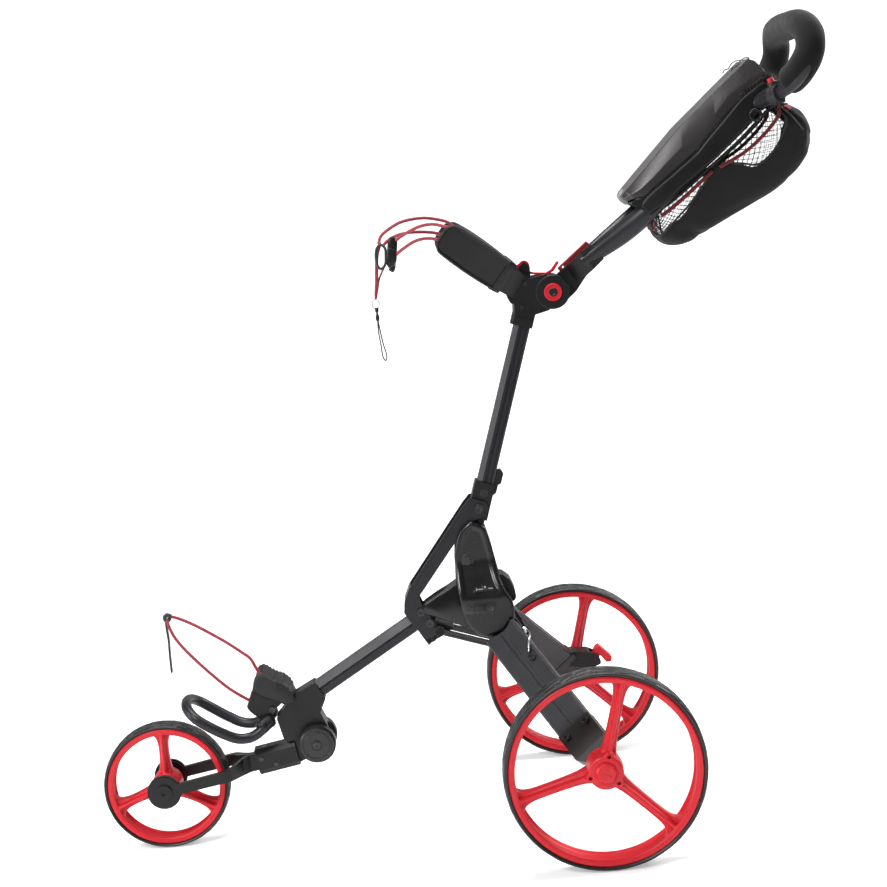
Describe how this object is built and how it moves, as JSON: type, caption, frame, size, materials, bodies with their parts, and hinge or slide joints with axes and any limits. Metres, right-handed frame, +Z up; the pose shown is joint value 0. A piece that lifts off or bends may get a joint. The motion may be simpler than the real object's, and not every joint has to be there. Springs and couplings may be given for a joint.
{
  "type": "golf push trolley",
  "caption": "Folding golf bag push trolley with a central mast, angled front beam, splayed rear legs, spoked wheels and a console handle.",
  "frame": {"origin": "centre of the bounding box at ground level, under the trolley", "axes": "+X forward to the front wheel, +Y to the left, +Z up; the longest side runs along Z and the shortest along Y"},
  "size_m": [1.1588, 0.614, 1.1824],
  "materials": {
    "black_aluminium": "satin anodised",
    "black_plastic": "fine moulded texture",
    "grey_plastic": "satin moulded",
    "red_plastic": "semi gloss",
    "dark_red": "semi gloss",
    "tyre": "matte",
    "steel": "zinc plated",
    "black_steel": "black oxide",
    "foam": "soft foam grip",
    "mesh_fabric": "open net with bound edges",
    "red_cord": "braided elastic cord"
  },
  "bodies": {
    "chassis": {"front_beam": "black_aluminium", "hub_casting": "black_plastic", "hub_cover_left": "black_plastic", "hub_cover_right": "black_plastic", "chassis_screws": "black_steel", "hub_pivot_pins": "steel", "front_knuckle": "black_plastic", "front_hinge_pin": "black_plastic", "lower_bag_bracket": "black_plastic", "bag_rest_loop": "black_aluminium", "lower_bag_strap": "red_cord"},
    "mast": {"mast_tube": "black_aluminium", "mast_bracket": "black_plastic", "mast_fasteners": "black_steel", "hinge_housing": "black_plastic", "hinge_knobs": "red_plastic", "upper_bag_bracket": "black_plastic", "upper_bag_pads": "grey_plastic", "upper_bag_strap": "red_cord", "strap_buckle": "black_plastic"},
    "strut_link": {"strut": "black_aluminium", "strut_bolts": "black_steel"},
    "slider": {"slider_block": "black_plastic"},
    "rod_left": {"push_rod_left": "black_steel"},
    "rod_right": {"push_rod_right": "black_steel"},
    "leg_left": {"rear_leg_left": "black_aluminium", "leg_knuckle_left": "black_plastic", "axle_block_left": "black_plastic", "leg_fasteners_left": "black_steel", "brake_cable": "steel"},
    "leg_right": {"rear_leg_right": "black_aluminium", "leg_knuckle_right": "black_plastic", "axle_block_right": "black_plastic", "leg_fasteners_right": "black_steel", "brake_housing": "black_plastic"},
    "pedal": {"brake_pedal": "red_plastic"},
    "wheel_left": {"rear_tyre_left": "tyre", "rear_rim_left": "red_plastic", "rear_bearings_left": "steel"},
    "wheel_right": {"rear_tyre_right": "tyre", "rear_rim_right": "red_plastic", "rear_bearings_right": "steel"},
    "front_arm": {"front_housing": "black_plastic", "housing_screws": "black_steel"},
    "fork": {"front_fork": "black_plastic", "front_axle": "steel"},
    "front_wheel": {"front_tyre": "tyre", "front_rim": "red_plastic", "front_bearings": "steel"},
    "handle": {"handle_block": "black_plastic", "handle_tubes": "black_aluminium", "console_body": "black_plastic", "handle_loop": "black_aluminium", "loop_clamp": "grey_plastic", "grip_foam": "foam", "net_bag": "mesh_fabric"},
    "lid": {"console_lid": "grey_plastic"},
    "button": {"release_button": "red_plastic"},
    "lever": {"hinge_lever": "dark_red"},
    "latch": {"hinge_latch": "red_plastic"}
  },
  "joints": [
    {"name": "mast_fold", "type": "hinge", "parent": "chassis", "child": "mast", "pos_m": [-0.0122, 0, 0.4062], "axis": [0, 1, 0], "range_deg": [0, 120], "deforming": ["lower_bag_strap", "upper_bag_strap", "strap_buckle"]},
    {"name": "strut_swing", "type": "hinge", "parent": "mast", "child": "strut_link", "pos_m": [-0.038, 0, 0.4865], "axis": [0, -1, 0], "range_deg": [0, 130.4]},
    {"name": "slider_travel", "type": "slide", "parent": "chassis", "child": "slider", "axis": [0.866, 0, -0.5], "range_m": [0, 0.1545]},
    {"name": "rod_left_swing", "type": "hinge", "parent": "slider", "child": "rod_left", "pos_m": [0.0386, 0.025, 0.304], "axis": [-0.038, 0.9935, 0.1071], "range_deg": [0, 38.3]},
    {"name": "rod_right_swing", "type": "hinge", "parent": "slider", "child": "rod_right", "pos_m": [0.0386, -0.025, 0.304], "axis": [0.038, 0.9935, -0.1071], "range_deg": [0, 38.3]},
    {"name": "leg_left_swing", "type": "hinge", "parent": "chassis", "child": "leg_left", "pos_m": [-0.0364, 0.037, 0.333], "axis": [-0.0995, -0.995, 0], "range_deg": [0, 88.05]},
    {"name": "leg_right_swing", "type": "hinge", "parent": "chassis", "child": "leg_right", "pos_m": [-0.0364, -0.037, 0.333], "axis": [0.0995, -0.995, 0], "range_deg": [0, 88.05]},
    {"name": "wheel_left_spin", "type": "hinge", "parent": "leg_left", "child": "wheel_left", "pos_m": [-0.1764, 0.28, 0.145], "axis": [0, 1, 0], "continuous": true},
    {"name": "wheel_right_spin", "type": "hinge", "parent": "leg_right", "child": "wheel_right", "pos_m": [-0.1764, -0.28, 0.145], "axis": [0, 1, 0], "continuous": true},
    {"name": "brake_pedal_press", "type": "hinge", "parent": "leg_right", "child": "pedal", "pos_m": [-0.2104, -0.214, 0.177], "axis": [0, -1, 0], "range_deg": [0, 22]},
    {"name": "front_wheel_fold", "type": "hinge", "parent": "chassis", "child": "front_arm", "pos_m": [0.2426, 0, 0.147], "axis": [0, 1, 0], "range_deg": [0, 165]},
    {"name": "front_tracking", "type": "hinge", "parent": "front_arm", "child": "fork", "pos_m": [0.32292, 0, 0.12363], "axis": [0.161, 0, 0.987], "range_deg": [-2.5, 2.5]},
    {"name": "front_wheel_spin", "type": "hinge", "parent": "fork", "child": "front_wheel", "pos_m": [0.4816, 0, 0.0978], "axis": [0, 1, 0], "continuous": true},
    {"name": "handle_fold", "type": "hinge", "parent": "mast", "child": "handle", "pos_m": [-0.1764, 0, 0.804], "axis": [0, -1, 0], "range_deg": [-5, 115]},
    {"name": "console_lid_open", "type": "hinge", "parent": "handle", "child": "lid", "pos_m": [-0.5114, 0, 1.084], "axis": [0, -1, 0], "range_deg": [0, 80]},
    {"name": "release_button_press", "type": "slide", "parent": "handle", "child": "button", "axis": [-0.3522, 0, -0.9359], "range_m": [0, 0.004]},
    {"name": "hinge_lever_lift", "type": "hinge", "parent": "handle", "child": "lever", "pos_m": [-0.1964, 0, 0.838], "axis": [0, 1, 0], "range_deg": [0, 40]},
    {"name": "hinge_latch_lift", "type": "hinge", "parent": "mast", "child": "latch", "pos_m": [-0.1384, 0, 0.845], "axis": [0, 1, 0], "range_deg": [0, 35]}
  ],
  "couplings": [
    {"joint": "strut_swing", "follows": "mast_fold", "ratio": 1.0861},
    {"joint": "slider_travel", "follows": "mast_fold", "m_per_rad": 0.073649},
    {"joint": "leg_left_swing", "follows": "mast_fold", "ratio": 0.7333},
    {"joint": "leg_right_swing", "follows": "mast_fold", "ratio": 0.7333},
    {"joint": "rod_left_swing", "follows": "mast_fold", "ratio": 0.3185},
    {"joint": "rod_right_swing", "follows": "mast_fold", "ratio": 0.3185}
  ]
}
